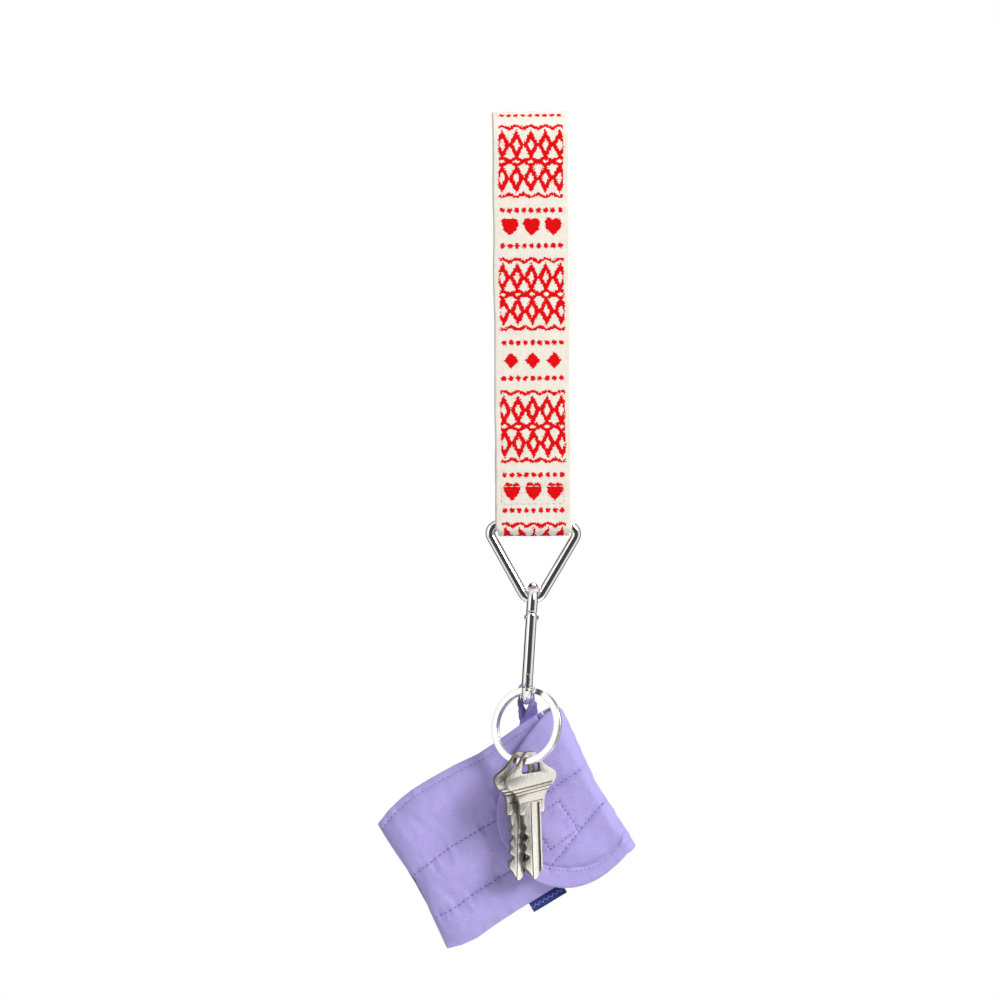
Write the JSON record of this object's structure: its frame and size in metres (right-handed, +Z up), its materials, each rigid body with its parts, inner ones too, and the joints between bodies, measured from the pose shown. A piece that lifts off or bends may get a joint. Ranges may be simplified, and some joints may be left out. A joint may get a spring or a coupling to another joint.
{
  "type": "wristlet keychain",
  "caption": "Webbing wrist loop hanging on a triangle ring, with a snap hook, a split ring of keys and a small quilted pouch.",
  "frame": {"origin": "inner top of the wrist loop, where the hand carries it", "axes": "+Z up, -Y towards the printed front of the strap, +X to the right as seen from the front"},
  "size_m": [0.114, 0.032, 0.3532],
  "materials": {
    "webbing": "cream woven polyester webbing with a red jacquard pattern",
    "thread": "cream bonded thread",
    "steel": "polished stainless steel",
    "spring": "bright spring steel",
    "nickel": "satin nickel plate",
    "nylon": "lilac nylon taffeta",
    "padding": "white polyester wadding",
    "lining": "dark lilac lining",
    "lilac_thread": "lilac thread",
    "patch": "woven hook and loop tape",
    "label": "navy woven label"
  },
  "bodies": {
    "wrist_strap": {"strap_webbing": "webbing", "box_stitch_front": "thread", "box_stitch_back": "thread"},
    "triangle": {"triangle_ring": "steel"},
    "carabiner": {"carabiner_body": "steel", "gate_rivet": "steel"},
    "gate": {"carabiner_gate": "steel", "gate_latch_pin": "steel", "gate_spring": "spring"},
    "plunger": {"gate_plunger": "spring"},
    "ring": {"split_ring": "steel"},
    "front_key": {"key_front": "nickel"},
    "rear_key": {"key_rear": "nickel"},
    "pouch": {"hang_loop": "nylon", "pouch_outer_fabric": "nylon", "pouch_wadding": "padding", "pouch_lining": "lining", "upper_seam_tape": "lining", "lower_seam_tape": "lining", "front_quilt_stitch_1": "lilac_thread", "front_quilt_stitch_2": "lilac_thread", "back_quilt_stitch_1": "lilac_thread", "back_quilt_stitch_2": "lilac_thread", "loop_patch": "patch", "side_label": "label"},
    "flap": {"flap_fold": "nylon", "flap_outer_fabric": "nylon", "flap_wadding": "padding", "flap_lining": "lining", "hook_patch": "patch", "patch_box_stitch": "lilac_thread", "flap_quilt_stitch": "lilac_thread", "flap_hem_stitch": "lilac_thread"}
  },
  "joints": [
    {"name": "triangle_swing", "type": "hinge", "parent": "wrist_strap", "child": "triangle", "pos_m": [0.0012, 0, -0.1721], "axis": [0.9999, 0, -0.0122], "range_deg": [-45, 45]},
    {"name": "carabiner_swing", "type": "hinge", "parent": "triangle", "child": "carabiner", "pos_m": [0.00083, 0, -0.20287], "axis": [0.9981, 0, -0.0623], "range_deg": [-40, 40]},
    {"name": "gate_open", "type": "hinge", "parent": "carabiner", "child": "gate", "pos_m": [0.00035, -0.00673, -0.2105], "axis": [0.9981, 0, -0.0623], "range_deg": [0, 24], "stiffness_Nm_per_rad": 0.02, "springref_deg": -17.19},
    {"name": "plunger_push", "type": "slide", "parent": "gate", "child": "plunger", "axis": [-0.062, -0.0844, -0.9945], "range_m": [0, 0.0006], "deforming": ["gate_spring"]},
    {"name": "ring_swing", "type": "hinge", "parent": "carabiner", "child": "ring", "pos_m": [-0.0018, -0.003, -0.24488], "axis": [0, 1, 0], "range_deg": [-45, 45]},
    {"name": "key_front_slide", "type": "hinge", "parent": "ring", "child": "front_key", "pos_m": [-0.0018, -0.00554, -0.25589], "axis": [-0.515, -0.8352, 0.1928], "range_deg": [0, 60]},
    {"name": "key_rear_slide", "type": "hinge", "parent": "ring", "child": "rear_key", "pos_m": [-0.0018, -0.00554, -0.25589], "axis": [-0.515, -0.8352, 0.1928], "range_deg": [0, 60]},
    {"name": "pouch_swing", "type": "hinge", "parent": "carabiner", "child": "pouch", "pos_m": [-0.0018, 0, -0.24504], "axis": [0, 1, 0], "range_deg": [-35, 35], "deforming": ["hang_loop"]},
    {"name": "flap_open", "type": "hinge", "parent": "pouch", "child": "flap", "pos_m": [0.0043, 0.0094, -0.24968], "axis": [-0.515, 0, 0.8572], "range_deg": [0, 160], "deforming": ["flap_fold", "flap_outer_fabric", "flap_wadding", "flap_lining", "hook_patch", "patch_box_stitch", "flap_quilt_stitch", "flap_hem_stitch"]}
  ],
  "couplings": [
    {"joint": "plunger_push", "follows": "gate_open", "m_per_rad": 0.0012},
    {"joint": "key_rear_slide", "follows": "key_front_slide", "ratio": 0.7}
  ]
}
